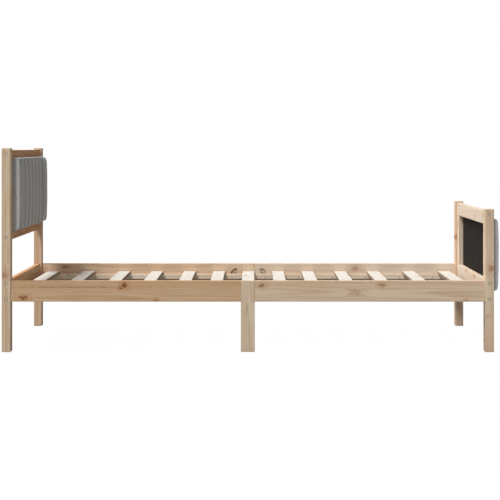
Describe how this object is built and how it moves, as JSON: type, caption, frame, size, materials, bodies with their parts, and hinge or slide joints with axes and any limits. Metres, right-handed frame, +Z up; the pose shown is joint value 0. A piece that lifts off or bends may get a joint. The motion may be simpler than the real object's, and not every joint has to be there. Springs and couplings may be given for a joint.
{
  "type": "single bed frame",
  "caption": "Single bed frame in natural pine with slatted base, middle legs, and a channelled upholstered pad on the headboard and the footboard.",
  "frame": {"origin": "on the floor under the middle of the overall box", "axes": "+X from the headboard to the footboard, +Y to the left of a person lying in it, +Z up"},
  "size_m": [2.1054, 0.96, 0.86],
  "materials": {
    "frame_pine": "sanded pine, clear matt oil",
    "slat_pine": "planed pine, unfinished",
    "plywood": "raw plywood",
    "beech": "raw beech",
    "pad_fabric": "plain weave over foam",
    "dust_cloth": "black non-woven cloth",
    "zinc_steel": "zinc plated"
  },
  "bodies": {
    "root": {"foot_end_rail": "frame_pine", "foot_frame_barrel_nuts": "zinc_steel", "foot_frame_bolts": "zinc_steel", "foot_pad_board": "plywood", "foot_pad_cushion": "pad_fabric", "foot_pad_dust_cover": "dust_cloth", "foot_pad_screws": "zinc_steel", "foot_post_left": "frame_pine", "foot_post_right": "frame_pine", "foot_stile_left": "frame_pine", "foot_stile_right": "frame_pine", "foot_top_rail": "frame_pine", "frame_dowels": "beech", "half_moon_washers": "zinc_steel", "head_end_rail": "frame_pine", "head_frame_barrel_nuts": "zinc_steel", "head_frame_bolts": "zinc_steel", "head_pad_board": "plywood", "head_pad_cushion": "pad_fabric", "head_pad_dust_cover": "dust_cloth", "head_pad_rail": "frame_pine", "head_pad_screws": "zinc_steel", "head_post_left": "frame_pine", "head_post_right": "frame_pine", "head_stile_left": "frame_pine", "head_stile_right": "frame_pine", "head_top_rail": "frame_pine", "leg_nuts": "zinc_steel", "leg_studs": "zinc_steel", "middle_leg_left": "frame_pine", "middle_leg_right": "frame_pine", "rail_barrel_nuts": "zinc_steel", "rail_bolts": "zinc_steel", "rail_dowels": "beech", "side_rail_left_foot": "frame_pine", "side_rail_left_head": "frame_pine", "side_rail_right_foot": "frame_pine", "side_rail_right_head": "frame_pine", "slat_01": "slat_pine", "slat_02": "slat_pine", "slat_03": "slat_pine", "slat_04": "slat_pine", "slat_05": "slat_pine", "slat_06": "slat_pine", "slat_07": "slat_pine", "slat_08": "slat_pine", "slat_09": "slat_pine", "slat_10": "slat_pine", "slat_11": "slat_pine", "slat_12": "slat_pine", "slat_13": "slat_pine", "slat_ledger_left_foot": "frame_pine", "slat_ledger_left_head": "frame_pine", "slat_ledger_right_foot": "frame_pine", "slat_ledger_right_head": "frame_pine"}
  },
  "joints": []
}
